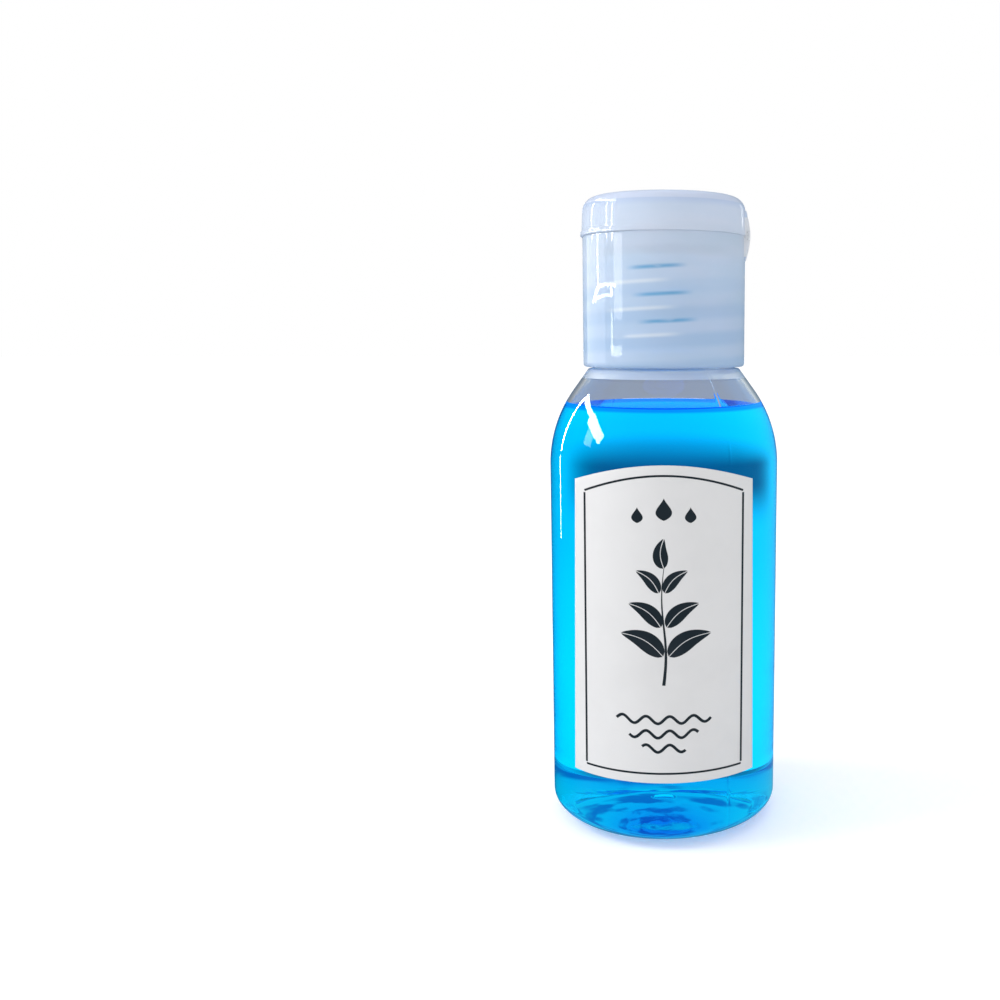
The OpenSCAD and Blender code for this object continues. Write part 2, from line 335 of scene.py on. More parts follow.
def painted_inner_glow(tree, shader, bright, dull, depth):
    """Painted glow: light thrown about inside more often than depth becomes an emission, bright to dull in
    patches.
    """
    often = calc(tree, "GREATER_THAN", add(tree, "ShaderNodeLightPath").outputs["Ray Depth"], depth + 0.5)
    colour = blended(tree, ramp(tree, clouds(tree, 130.0, 3.0), 0.48, 0.6), bright, dull)
    glow = add(tree, "ShaderNodeEmission", [("Color", colour)], Strength=1.0)
    mix = shader_between(tree, often, shader.outputs[0], glow.outputs[0])
    tree.links.new(mix, tree.nodes["Material Output"].inputs["Surface"])


def clear_pet(name, index, rough=0.03, bump=0.12, ripple_scale=220.0, ripple_amount=0.8, glow=None):
    """Clear PET with a faint ripple; rough is its greatest roughness, and glow, if given, is a painted glow.
    """
    made, tree, shader = nodes_of(name)
    shader.inputs["Base Color"].default_value = (0.88, 0.95, 1.0, 1)
    shader.inputs["Transmission Weight"].default_value = 1.0
    shader.inputs["IOR"].default_value = index
    shader.inputs["Specular Tint"].default_value = (0.5, 0.7, 1.0, 1)
    moulded_finish(tree, shader, rough / 3, rough, bump,
                   Ripple_Scale=ripple_scale, Ripple_Amount=ripple_amount, Grain_Amount=0.0)
    if glow:
        painted_inner_glow(tree, shader, glow, glow, dry_depth)
    return made


def bottle_angles(count=208):
    """Angles round the bottle, closer together at the two seams."""
    kept = [2 * math.pi * k / count for k in range(count)]
    for seam in (seam_angle % math.pi, seam_angle % math.pi + math.pi):
        kept = [a for a in kept if abs(a - seam) > 3.2 * seam_w / ledge_r]
        kept += [seam + k * seam_w / (2 * body_r) for k in range(-6, 7)]
    return sorted(kept)


def ledge_painted_paler():
    """The thick ring under the closure, where the blown wall runs into the moulded neck, made paler and less
    clear: painted light.
    """
    made, tree, shader = nodes_of("clear_pet_ledge")
    shader.inputs["Base Color"].default_value = (0.80, 0.90, 1.0, 1)
    shader.inputs["Transmission Weight"].default_value = 0.55
    shader.inputs["IOR"].default_value = filled_index
    moulded_finish(tree, shader, 0.12, 0.25, 0.2, Ripple_Scale=300.0, Ripple_Amount=0.8, Grain_Amount=0.0)
    return made


def wetted(mesh, outside, inside, foot, ledge):
    """Gives the wall below the liquid's surface the looks of a filled wall, and the ledge its painted paler
    look.
    """
    for material in (outside, inside, foot, ledge):
        mesh.materials.append(material)
    middle = Vector((0, 0, body_h / 2))
    for face in mesh.polygons:
        inner = (face.center - middle).dot(face.normal) < 0
        if face.center.z < fill_z:
            under = face.normal.z < -0.5 and face.center.xy.length < foot_out_r + heel_w / 3
            face.material_index = 2 if inner else 3 if under else 1
        elif not inner and abs(face.center.z - ledge_z) < ledge_band:
            if face.center.xy.length > collar_r - edge_r:
                face.material_index = 4


pet_index, filled_index = 1.57, 1.36
dry_depth = 6
ledge_band = 1.2 * MM
fill_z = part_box("mouthwash")[1].z
bottle_line = rounded(bottle_outside() + [(bore_r, rim_z, edge_r)] + bottle_inside(0))
# The dry PET gets a painted bluish-grey glow for light thrown about inside its wall.
dry_pet = clear_pet("clear_pet", pet_index, glow=(0.5, 0.59, 0.72, 1))
bottle = turned("pet_bottle", fine(bottle_line, 0.25 * MM), dry_pet, bottle_shape, bottle_angles())
wetted(bottle.data, clear_pet("clear_pet_filled", filled_index), clear_pet("clear_pet_wetted", 1.0),
       clear_pet("clear_pet_foot", filled_index, 0.14, 0.8, 450.0, 5.0), ledge_painted_paler())
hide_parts("bottle")
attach(bottle, "bottle")

# Mouthwash
# The clear blue liquid, filled to a level surface at the top of the shoulder.
# It wets the wall, so its surface lies just inside the plastic and climbs a little where it meets it.
wetting = 0.08 * MM
meniscus_h, meniscus_w = 0.35 * MM, 1.1 * MM
liquid_depth = 8


def liquid_shape(r, z, a):
    """Follows the wall's ripple below the surface."""
    if z < fill_z and r > foot_in_r:
        r += ripple(z, a)
    return r * math.cos(a), r * math.sin(a), z


def liquid_outline():
    """The wall's inner outline up to the surface, then the surface with its meniscus to the axis."""
    wall = rounded(bottle_inside(-wetting))
    below = [(r, z) for r, z in wall if z < fill_z]
    above = [(r, z) for r, z in wall if z >= fill_z][-1]
    share = (fill_z - below[0][1]) / (above[1] - below[0][1])
    top_r = below[0][0] + share * (above[0] - below[0][0])
    steps = [i / 12 for i in range(13)]
    surface = [(top_r - meniscus_w * s, fill_z - meniscus_h * (1 - (1 - s) ** 2)) for s in steps]
    inner = [(surface[-1][0] * (1 - s), surface[-1][1]) for s in (0.25, 0.5, 0.75, 1)]
    return (surface + inner)[::-1] + fine(below, 0.5 * MM)


def own_place(tree):
    """The X, Y and Z of a point in its piece's own space."""
    where = add(tree, "ShaderNodeTexCoord").outputs["Object"]
    return add(tree, "ShaderNodeSeparateXYZ", [(0, where)]).outputs


def blue_mouthwash():
    """Blue by absorption, with a painted deeper blue at the surface where light passes it, and a painted glow
    in patches.
    """
    made, tree, shader = nodes_of("blue_mouthwash")
    shader.inputs["Transmission Weight"].default_value = 1.0
    shader.inputs["IOR"].default_value = 1.0
    shader.inputs["Roughness"].default_value = 0.0
    # Painted shade: a deeper blue tint just under the surface, by height, for the longer light path there.
    painted_surface_band = ramp(tree, own_place(tree)["Z"], fill_z - 2 * meniscus_h, fill_z - meniscus_h)
    tint = blended(tree, painted_surface_band, (0.01, 0.96, 1.0, 1), (0.0, 0.23, 0.98, 1))
    tree.links.new(tint, shader.inputs["Base Color"])
    depth = add(tree, "ShaderNodeVolumeAbsorption", Color=(0.0, 0.95, 0.997, 1), Density=500.0)
    tree.links.new(depth.outputs[0], tree.nodes["Material Output"].inputs["Volume"])
    painted_inner_glow(tree, shader, (0.0, 0.95, 0.95, 1), (0.0, 0.36, 0.62, 1), liquid_depth)
    return made


mouthwash = turned("mouthwash_fill", liquid_outline(), blue_mouthwash(), liquid_shape, 224)
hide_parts("mouthwash")
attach(mouthwash, "bottle")

# Closure base
# The screw skirt of translucent polypropylene, with its deck, spout, snap ring and lower hinge band.
# It is moulded in one shot with the lid, the fold, the seal ring and the pin.
closure_low, closure_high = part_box("closure_base")
lid_low, lid_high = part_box("lid")
film_low, film_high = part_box("living_hinge")
cap_r = -closure_low.x
cap_z, snap_z = closure_low.z, closure_high.z
parting_z = lid_low.z
lid_r = lid_high.y
hinge_x = film_high.x
hinge_half_w = film_high.y
film_half_h = (film_high.z - film_low.z) / 2
half_bulge = 2.95 * MM
bulge_r = (half_bulge ** 2 + (hinge_x - cap_r) ** 2) / (2 * (hinge_x - cap_r))
film_root_t, film_t = 0.38 * MM, 0.25 * MM
recess_gap = 0.03 * MM
skirt_in_r = 9.05 * MM
deck_z = rim_z + 1.2 * MM
lid_wall = 0.95 * MM
snap_r = lid_r - lid_wall - 0.3 * MM
snap_wall, snap_bead = 0.8 * MM, 0.1 * MM
orifice_r, spout_r = 1.6 * MM, 2.8 * MM
spout_z = deck_z + 1.6 * MM
cap_thread_r = 8.0 * MM
cap_thread_turns = 1.6
cap_crest_w, cap_root_w = 0.25 * MM, 0.8 * MM
band_bevel, bevel_start = 0.12 * MM, 0.88
step_h = 0.03 * MM

band_in = math.atan2(hinge_half_w, hinge_x)
band_out = math.asin(hinge_half_w / lid_r)


def closure_angles(count=224):
    """Angles round the closure, with the hinge band's edges among them."""
    plain = [2 * math.pi * k / count - math.pi for k in range(count)]
    kept = [a for a in plain if not 0.85 * band_in < abs(a) < band_out + 0.004]
    edges = (bevel_start * band_in, 0.94 * band_in, band_in, band_out, band_out + 0.006)
    return sorted(kept + [side * a for side in (-1, 1) for a in edges])


def on_band(z, a):
    """Point on the hinge band's bulged face."""
    out = hinge_x - bulge_r + math.sqrt(bulge_r ** 2 - (z - parting_z) ** 2)
    worn = max(0, (abs(a) / band_in - bevel_start) / (1 - bevel_start))
    return out - band_bevel * worn ** 2, hinge_half_w * a / band_in, z


def film_thickness(rise):
    """Thickness of the film that folds, at a height above or below its middle."""
    return film_root_t - (film_root_t - film_t) * math.sqrt(max(0, 1 - (rise / film_half_h) ** 2))


def recess_at(z):
    """How far out the wall behind the film stands, just clear of its inner side."""
    return hinge_x - film_thickness(z - parting_z) - recess_gap


def closure_shape(r, z, a):
    """Adds the screw thread inside the skirt and the lower hinge band outside it."""
    if abs(r - skirt_in_r) < 0.02 * MM and cap_z + edge_r < z < rim_z:
        start_z = thread_z - thread_pitch / 2
        r -= (skirt_in_r - cap_thread_r) * thread(z, a, start_z, cap_thread_turns, cap_crest_w, cap_root_w)
    elif r > cap_r - 0.05 * MM and abs(a) <= band_in and z - parting_z > -half_bulge:
        if z - parting_z < -film_half_h:
            return on_band(z, a)
        return recess_at(z) + r - cap_r, hinge_half_w * a / band_in, z
    return r * math.cos(a), r * math.sin(a), z


def thread_shade():
    """Node group: painted shade and highlights of the neck and its thread behind the skirt, as masks of its
    dark and pale parts.
    """
    group = bpy.data.node_groups.new("thread_shade", "ShaderNodeTree")
    for name, value in (("Height", thread_z - 0.2 * MM), ("Line Width", 0.4 * MM)):
        group.interface.new_socket(name, in_out="INPUT", socket_type="NodeSocketFloat").default_value = value
    for name in ("Neck", "Painted Shade", "Painted Highlight"):
        group.interface.new_socket(name, in_out="OUTPUT", socket_type="NodeSocketFloat")
    come = group.nodes.new("NodeGroupInput")
    leave = group.nodes.new("NodeGroupOutput")
    place = own_place(group)
    angle = calc(group, "ARCTAN2", place["Y"], place["X"])
    fall = calc(group, "DIVIDE", calc(group, "SUBTRACT", place["Z"], come.outputs["Height"]), thread_pitch)
    lap_share = calc(group, "DIVIDE", calc(group, "ADD", angle, math.pi / 2), 2 * math.pi)
    climb = calc(group, "SUBTRACT", fall, lap_share)
    band = calc(group, "MULTIPLY", ramp(group, place["Z"], rim_z - 10.4 * MM, rim_z - 9.6 * MM),
                ramp(group, place["Z"], rim_z - 0.4 * MM, rim_z - 0.9 * MM))
    drift = calc(group, "MULTIPLY", calc(group, "SUBTRACT", rim_z - 2.5 * MM, place["Z"]), 22.0)
    uneven = ramp(group, clouds(group, 260.0, 1.0, 4), 0.2, 0.42)
    # Dark lines are painted shade of the thread; pale lines, between its turns, are painted highlights.
    for name, shift, middle, reach in (("Painted Shade", 0.0, math.radians(-94), 0.35),
                                       ("Painted Highlight", 0.5, math.radians(-112), 0.0)):
        lap = calc(group, "PINGPONG", calc(group, "ADD", climb, 8.0 + shift), 0.5)
        off = calc(group, "DIVIDE", calc(group, "MULTIPLY", lap, thread_pitch), come.outputs["Line Width"])
        line = calc(group, "MULTIPLY", ramp(group, off, 1.0, 0.0), uneven)
        turned_by = calc(group, "SUBTRACT", calc(group, "SUBTRACT", angle, drift), middle)
        around = calc(group, "COSINE", calc(group, "MULTIPLY", turned_by, 3.0), 0.0)
        patch = calc(group, "MULTIPLY", ramp(group, around, reach, 0.95), band)
        group.links.new(calc(group, "MULTIPLY", line, patch), leave.inputs[name])
    # Painted shade: the skirt darker towards its foot, where the neck lies behind it.
    between = ramp(group, calc(group, "PINGPONG", calc(group, "ADD", climb, 8.25), 0.5), 0.1, 0.4)
    turns = calc(group, "ADD", calc(group, "MULTIPLY", between, 0.45), 0.5)
    neck = calc(group, "MULTIPLY", ramp(group, place["Z"], rim_z + 2 * MM, rim_z - 9 * MM), turns)
    group.links.new(neck, leave.inputs["Neck"])
    return group


def milky_polypropylene(name, tint, cloud, threads=None, plate_z=None):
    """Milky plastic with paler clouds; painted shade and highlights of the thread, or of a top plate's edge,
    may lie on it.
    """
    made, tree, shader = nodes_of(name)
    shader.inputs["Transmission Weight"].default_value = 0.3
    shader.inputs["IOR"].default_value = 1.05
    shader.inputs["Specular IOR Level"].default_value = 0.0
    shader.inputs["Coat Weight"].default_value = 0.45
    shader.inputs["Coat Roughness"].default_value = 0.025
    moulded_finish(tree, shader, 0.3, 0.36, 0.12, Ripple_Scale=140.0, Ripple_Amount=0.6, Grain_Scale=5000.0)
    colour = blended(tree, clouds(tree, 80.0, 3.0, 5), tint, cloud)
    if threads:
        shade = add(tree, "ShaderNodeGroup", node_tree=threads)
        # Painted shade of the neck and thread, and painted highlights between the thread's turns.
        for mask, print_ink_and_painted_light, strength in (("Neck", (0.36, 0.56, 0.80, 1), 0.6),
                                    ("Painted Shade", (0.13, 0.44, 0.72, 1), 0.8),
                                    ("Painted Highlight", (0.93, 0.97, 1.0, 1), 0.6)):
            colour = blended(tree, calc(tree, "MULTIPLY", shade.outputs[mask], strength), colour, print_ink_and_painted_light)
    if plate_z:
        height = own_place(tree)["Z"]
        # Painted shade just under the top plate's edge, and a painted lighter band above it.
        for low, high, painted_plate_light in ((plate_z - 0.9 * MM, plate_z, (0.58, 0.70, 0.92, 1)),
                                 (plate_z, plate_z + 0.1 * MM, (0.80, 0.86, 1.0, 1))):
            colour = blended(tree, ramp(tree, height, low, high, To_Max=0.7), colour, painted_plate_light)
    tree.links.new(colour, shader.inputs["Base Color"])
    return made


def paler_band_painted_light(mesh, round_r):
    """Gives the hinge band, which stands out past round_r, a paler tint: painted light, for light through
    thinner plastic.
    """
    mesh.materials.append(thin_plastic_painted_paler)
    for face in mesh.polygons:
        if max(mesh.vertices[k].co.x for k in face.vertices) > round_r + step_h:
            face.material_index = 1


# Painted light: the hinge band and the film are tinted paler than the rest of the closure.
thin_plastic_painted_paler = milky_polypropylene("milky_polypropylene_thin", (0.92, 0.95, 1.0, 1), (0.98, 0.99, 1.0, 1))
closure_plastic = milky_polypropylene("milky_polypropylene", (0.59, 0.75, 0.90, 1), (0.77, 0.82, 0.96, 1),
                                      thread_shade())
closure_line = rounded([
    (skirt_in_r, cap_z, edge_r / 2), (cap_r, cap_z, 1.3 * edge_r),
    (cap_r, parting_z - half_bulge, 0), (cap_r, parting_z - half_bulge + step_h, 0),
    (cap_r, parting_z - film_half_h - step_h, 0), (cap_r, parting_z - film_half_h, 0),
    (cap_r, parting_z, edge_r / 6), (snap_r, parting_z, 0),
    (snap_r, snap_z - 3 * edge_r, 0), (snap_r + snap_bead, snap_z - 2 * edge_r, edge_r / 3),
    (snap_r, snap_z, edge_r / 2), (snap_r - snap_wall, snap_z, edge_r / 2),
    (snap_r - snap_wall, deck_z, edge_r), (spout_r, deck_z, edge_r),
    (spout_r, spout_z, edge_r), (orifice_r, spout_z, edge_r / 2),
    (orifice_r, rim_z, edge_r / 2), (skirt_in_r, rim_z, edge_r / 2)
])
closure_base = turned("flip_top_base", fine(closure_line + closure_line[:1], 0.2 * MM)[:-1], closure_plastic,
                      closure_shape, closure_angles(), closed=True)
paler_band_painted_light(closure_base.data, cap_r)
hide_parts("closure_base")
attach(closure_base, "closure")

# Bore seal
# The ring under the deck that plugs the neck's bore as the closure is screwed down.
# It is one moulding with the deck, with a tapered tip that leads it into the bore.
seal_low, seal_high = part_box("bore_seal")
seal_r = seal_high.x
seal_wall = 0.8 * MM
seal_line = rounded([
    (seal_r - seal_wall, seal_low.z, edge_r / 3), (seal_r - seal_wall / 2, seal_low.z, edge_r / 2),
    (seal_r, seal_low.z + seal_wall, edge_r / 2), (seal_r, seal_high.z, 0),
    (seal_r - seal_wall, seal_high.z, 0)
])
bore_seal = turned("bore_seal_ring", seal_line, closure_plastic, closed=True)
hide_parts("bore_seal")
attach(bore_seal, "seal_carrier")

# Lid
# The crowned flip lid with its thumb lip opposite the hinge, of the same milky polypropylene.
# Its rim snaps over the ring on the deck, and its band carries the upper end of the fold.
lid_top_z = lid_high.z
lid_draft = 0.2 * MM
lid_crown = 0.25 * MM
lid_round = 1.7 * MM
lid_top_t = 1.0 * MM
lid_edge_z = lid_top_z - lid_crown
lid_ceiling_z = lid_edge_z - lid_top_t
thumb_proud = -lid_low.x - lid_r
thumb_h, thumb_step = 0.7 * MM, 0.05 * MM


def lid_shape(r, z, a):
    """Adds the thumb lip, the upper hinge band and the recess behind the fold."""
    rise = z - parting_z
    if r > lid_r - lid_wall / 2 and rise < half_bulge:
        if abs(a) <= band_in:
            if rise > film_half_h:
                return on_band(z, a)
            return recess_at(z) + r - lid_r, hinge_half_w * a / band_in, z
        if rise <= thumb_h:
            lip = math.sqrt(lid_r ** 2 - (thumb_proud * math.sin(a)) ** 2) - thumb_proud * math.cos(a)
            r += max(0, lip - lid_r)
    return r * math.cos(a), r * math.sin(a), z


def draft_at(rise):
    """The lid's radius at a height above its rim."""
    return lid_r - lid_draft * rise / (lid_edge_z - parting_z)


# The lid's tint is paler than the base's, though they are the same plastic: the base is painted darker, the
# lid lighter.
lid_plastic = milky_polypropylene("milky_polypropylene_lid", (0.68, 0.80, 0.95, 1), (0.82, 0.87, 0.99, 1),
                                  plate_z=lid_ceiling_z)
lid_line = rounded([
    (lid_r - lid_wall, parting_z, edge_r / 2), (lid_r, parting_z, edge_r / 2),
    (draft_at(film_half_h), parting_z + film_half_h, 0),
    (draft_at(film_half_h), parting_z + film_half_h + step_h, 0),
    (draft_at(thumb_h), parting_z + thumb_h, 0), (draft_at(thumb_h), parting_z + thumb_h + thumb_step, 0),
    (draft_at(half_bulge), parting_z + half_bulge - step_h, 0),
    (draft_at(half_bulge), parting_z + half_bulge, 0),
    (lid_r - lid_draft, lid_edge_z, lid_round), (0, lid_top_z, 0), (0, lid_ceiling_z, 0),
    (lid_r - lid_wall - lid_draft, lid_ceiling_z, 2 * edge_r)
], 8)
axis_at = lid_line.index((0, lid_top_z)) + 1
lid_line = lid_line[axis_at:] + lid_line[:axis_at]
lid = turned("flip_lid", fine(lid_line, 0.25 * MM), lid_plastic, lid_shape, closure_angles())
paler_band_painted_light(lid.data, lid_r)
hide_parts("lid")
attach(lid, "lid")

# Sealing pin
# The pin under the lid that plugs the pouring orifice when the lid is snapped shut.
# It is one moulding with the lid, stout at its root and rounded at its tip.
pin_low, pin_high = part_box("sealing_pin")
pin_gap = 0.08 * MM
pin_r = orifice_r - pin_gap
pin_line = rounded([
    (0, pin_low.z, 0), (pin_r, pin_low.z, edge_r), (pin_r, spout_z + edge_r, edge_r),
    (pin_high.x, pin_high.z, 0), (0, pin_high.z, 0)
])
sealing_pin = turned("lid_sealing_pin", pin_line, lid_plastic, angles=64)
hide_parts("sealing_pin")
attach(sealing_pin, "lid")

# Living hinge
# The thin film that joins the closure's two halves behind the bulge; on the real closure it folds as the lid
# opens, here it is built flat.
# It is coined thinner at its middle, on the inner side, so that it folds along one line.


def thin_sheet(point, columns, rows):
    """Closed thin sheet from point(column, row, side), with side 0 at its back and 1 at its face."""
    verts = [point(i, k, side) for k in range(rows + 1) for i in range(columns + 1) for side in (0, 1)]
    at = lambda i, k, side: 2 * (k * (columns + 1) + i) + side
    faces = []
    for k in range(rows):
        for i in range(columns):
            for side in (0, 1):
                faces.append((at(i, k, side), at(i + 1, k, side), at(i + 1, k + 1, side), at(i, k + 1, side)))
        faces += [(at(i, k, 0), at(i, k, 1), at(i, k + 1, 1), at(i, k + 1, 0)) for i in (0, columns)]
    for i in range(columns):
        faces += [(at(i, k, 0), at(i + 1, k, 0), at(i + 1, k, 1), at(i, k, 1)) for k in (0, rows)]
    return verts, faces


def hinge_film(columns=16, rows=24):
    """The flat film, thinnest at its middle height."""
    def point(i, k, side):
        rise = film_half_h * (2 * k / rows - 1)
        depth = 0 if side else film_thickness(rise)
        return hinge_x - depth, hinge_half_w * (2 * i / columns - 1), parting_z + rise
    return thin_sheet(point, columns, rows)


living_hinge = piece("hinge_film", *hinge_film(), thin_plastic_painted_paler)
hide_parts("living_hinge")
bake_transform(living_hinge)

# Label
# A self-adhesive film label on the front of the body, pale grey, with an arched upper edge.
# Its glue wets the plastic, so its back lies in the wall's surface.
label_low, label_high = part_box("label")
label_half_top, label_half_foot = 10.55 * MM, label_high.x
label_side_z = label_high.z - 2.1 * MM
label_out_r = body_r + 0.1 * MM
label_in_r = body_r - 0.05 * MM
label_edge = 0.03 * MM


def on_label(x, z, r):
    """Point at x and z on the front, at radius r on the body and as much lower as the shoulder falls away."""
    above = max(0, z - body_h)
    r -= shoulder_r - math.sqrt(shoulder_r ** 2 - above ** 2)
    return x, -math.sqrt(r * r - x * x), z


def label_point(u, v, r):
    """Point of the label at shares u from -1 to 1 across and v from 0 to 1 up, at radius r."""
    half_w = label_half_foot + (label_half_top - label_half_foot) * v
    top_z = label_side_z + (label_high.z - label_side_z) * (1 - u * u)
    return on_label(u * half_w, label_low.z + v * (top_z - label_low.z), r)


def label_sheet(columns=96, rows=90):
    """The label as a thin sheet, its edges slightly rounded over."""
    def point(i, k, side):
        at_edge = i in (0, columns) or k in (0, rows)
        r = label_out_r - label_edge * at_edge if side else label_in_r
        return label_point(2 * i / columns - 1, k / rows, r)
    return thin_sheet(point, columns, rows)


def label_film():
    """Pale grey film with a satin face, a little darker where it is rubbed."""
    made, tree, shader = nodes_of("label_film")
    shader.inputs["Coat Weight"].default_value = 0.15
    shader.inputs["Coat Roughness"].default_value = 0.25
    skin = moulded_finish(tree, shader, 0.38, 0.5, 0.2, Ripple_Scale=120.0, Grain_Scale=6000.0)
    paper = blended(tree, skin.outputs["Rubbed"], (0.75, 0.745, 0.75, 1), (0.72, 0.715, 0.72, 1))
    tree.links.new(paper, shader.inputs["Base Color"])
    return made


label = piece("front_label", *label_sheet(), label_film())
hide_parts("label")
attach(label, "bottle")

# Label print
# Near-black ink on the label: a keyline, a sprig of mint, three drops and three waves.
# It is screen printed, so each stroke is a thin raised skin on the label's face.
ink_h, ink_root = 0.012 * MM, 0.01 * MM
keyline_gap, keyline_w = 1.2 * MM, 0.24 * MM
sprig_z, sprig_h = 20.5 * MM, 14 * MM
leaf_l, leaf_w, vein_w = 5.6 * MM, 1.25 * MM, 0.09 * MM
stem_half_w, stem_sway = 0.16 * MM, 0.25 * MM
drop_z, drop_h = 41.4 * MM, 2.6 * MM
side_drop_x, side_drop_z, side_drop_h = 3.1 * MM, 40.7 * MM, 1.82 * MM
wave_z, wave_gap, wave_w = 12.8 * MM, 1.75 * MM, 0.34 * MM
wave_reach, wave_h, wave_half_len = 5.6 * MM, 0.45 * MM, 1.4 * MM


def stroke(line, low, high, across=4):
    """Thin skin along the points of line, between the side offsets low(share) and high(share)."""
    last = len(line) - 1

    def point(k, i, side):
        ahead = Vector(line[min(i + 1, last)]) - Vector(line[max(i - 1, 0)])
        aside = Vector((-ahead.y, ahead.x)).normalized()
        off = low(i / last) + (high(i / last) - low(i / last)) * k / across
        at = Vector(line[i]) + aside * off
        return on_label(at.x, at.y, label_out_r + ink_h if side else label_out_r - ink_root)
    return thin_sheet(point, across, last)


def even(width):
    """The two side offsets of a stroke of one width."""
    return (lambda share: -width / 2), (lambda share: width / 2)


def keyline():
    """Four strokes at an even gap inside the label's edge, a width short of each other at the corners."""
    low_z = label_low.z + keyline_gap
    side_x = label_half_top - keyline_gap
    side_z = label_side_z - keyline_gap
    rise = label_high.z - label_side_z
    shares = [i / 40 for i in range(41)]
    arch = [(side_x * (2 * s - 1), side_z + rise * (1 - (2 * s - 1) ** 2)) for s in shares]
    foot = [(side_x * (2 * s - 1), low_z) for s in shares]
    sides = [[(x, low_z + keyline_w + (side_z - low_z - 2 * keyline_w) * s) for s in shares]
             for x in (-side_x, side_x)]
    return [(line, *even(keyline_w)) for line in (arch, foot, *sides)]


def leaf(x, z, angle, length, width):
    """Two half leaves from a point on the stem, with the vein left bare between them."""
    shares = [i / 20 for i in range(21)]
    tip = Vector((math.cos(angle), math.sin(angle)))
    bend = Vector((-tip.y, tip.x)) * (0.12 * length * (1 if tip.x > 0 else -1))
    line = [Vector((x, z)) + tip * length * s + bend * math.sin(math.pi * s) for s in shares]
    belly = lambda s: vein_w / 2 + width * math.sin(math.pi * s ** 0.8) ** 0.75 * (1 - 0.25 * s)
    halves = [(lambda s: vein_w / 2, belly), (lambda s: -belly(s), lambda s: -vein_w / 2)]
    return [([tuple(p) for p in line], low, high) for low, high in halves]


def sprig():
    """A stem with three pairs of leaves, smaller towards the top, and one leaf at its tip."""
    shares = [i / 24 for i in range(25)]
    stem = [(stem_sway * math.sin(2 * math.pi * s), sprig_z + sprig_h * s) for s in shares]
    strokes = [(stem, lambda s: -stem_half_w * (1.2 - s), lambda s: stem_half_w * (1.2 - s))]
    for i, share in enumerate((0.24, 0.52, 0.78)):
        x, z = stem[round(share * 24)]
        size = 1 - 0.17 * i
        for lean in (28 + 8 * i, 152 - 8 * i):
            start = 0.35 * MM * (1 if lean < 90 else -1)
            strokes += leaf(x + start, z, math.radians(lean), leaf_l * size, leaf_w * size)
    return strokes + leaf(*stem[-1], math.pi / 2, 0.62 * leaf_l, 0.75 * leaf_w)


def drop(x, z, height):
    """A drop with its point up."""
    line = [(x, z + height * (0.5 - i / 24)) for i in range(25)]
    half = lambda s: 0.36 * height * math.sin(math.pi * s ** 1.6) ** 0.8 + 0.01 * MM
    return [(line, lambda s: -half(s), half)]


def waves():
    """Three level wave lines that grow shorter downwards."""
    lines = []
    for i in range(3):
        reach = wave_reach * (0.46 + 0.27 * i)
        level = wave_z + wave_gap * i
        across = [reach * (2 * k / 80 - 1) for k in range(81)]
        lines.append([(x, level + wave_h * math.sin(math.pi * x / wave_half_len)) for x in across])
    return [(line, *even(wave_w)) for line in lines]


def label_ink():
    """Near-black ink, a little paler where it is rubbed."""
    made, tree, shader = nodes_of("label_ink")
    shader.inputs["Coat Weight"].default_value = 0.1
    shader.inputs["Coat Roughness"].default_value = 0.3
    skin = moulded_finish(tree, shader, 0.35, 0.5, 0.15, Ripple_Scale=150.0, Grain_Scale=7000.0)
    print_ink_and_painted_light = blended(tree, skin.outputs["Rubbed"], (0.008, 0.010, 0.013, 1), (0.016, 0.019, 0.024, 1))
    tree.links.new(print_ink_and_painted_light, shader.inputs["Base Color"])
    return made


print_verts, print_faces = [], []
drops = drop(0, drop_z, drop_h)
for x in (-side_drop_x, side_drop_x):
    drops += drop(x, side_drop_z, side_drop_h)
for line, low, high in keyline() + sprig() + drops + waves():
    verts, faces = stroke(line, low, high)
    print_faces += [tuple(len(print_verts) + k for k in face) for face in faces]
    print_verts += verts
label_print = piece("label_print", print_verts, print_faces, label_ink())
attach(label_print, "bottle")

# Studio
# A pale floor, a white surround and soft light from the front left, as for a catalogue picture.
# Clear parts have a dim room behind them, and narrow lamps stand for a window, seen only as highlights.
white = (1.0, 1.0, 1.0, 1.0)
room, far_room = (0.20, 0.23, 0.30, 1.0), (0.37, 0.375, 0.39, 1.0)
dim, dusk = (0.14, 0.3, 0.42, 1.0), (0.01, 0.07, 0.16, 1.0)
floor_w, floor_lift, sky_glow = 6, 0.28, 0.89
table_r, table_blur, room_r = 0.2, 0.12, 0.45
near_glow, far_glow = 0.7, 0.3
caustic_at, caustic_r, caustic_glow = (0.026, 0.004, 0), 0.014, 1.6


def behind(tree, place, turn=7, low=44, high=20):
    """1 for a place or direction behind the bottle, turned to the left, and 0 beyond low degrees aside."""
    ahead = add(tree, "ShaderNodeVectorMath", [(0, place)], operation="NORMALIZE").outputs[0]
    share = add(tree, "ShaderNodeVectorMath", [(0, ahead)], operation="DOT_PRODUCT")
    share.inputs[1].default_value = (-math.sin(math.radians(turn)), math.cos(math.radians(turn)), 0)
    return ramp(tree, share.outputs["Value"], math.cos(math.radians(low)), math.cos(math.radians(high)))


def mirrored_colour(tree, place):
    """What glossy surfaces mirror: a dim room, and dusk behind the bottle."""
    return blended(tree, behind(tree, place, 45, 75, 50), dim, dusk)


def by_ray(tree, end, plain, mirrored, through, seen):
    """Ends a stage's shader: what plain light, mirrors, clear parts and the camera each meet."""
    ray = add(tree, "ShaderNodeLightPath").outputs
    for kind, look in (("Is Glossy Ray", mirrored), ("Is Transmission Ray", through),
                       ("Is Camera Ray", seen)):
        plain = shader_between(tree, ray[kind], plain, look)
    tree.links.new(plain, tree.nodes[end].inputs["Surface"])


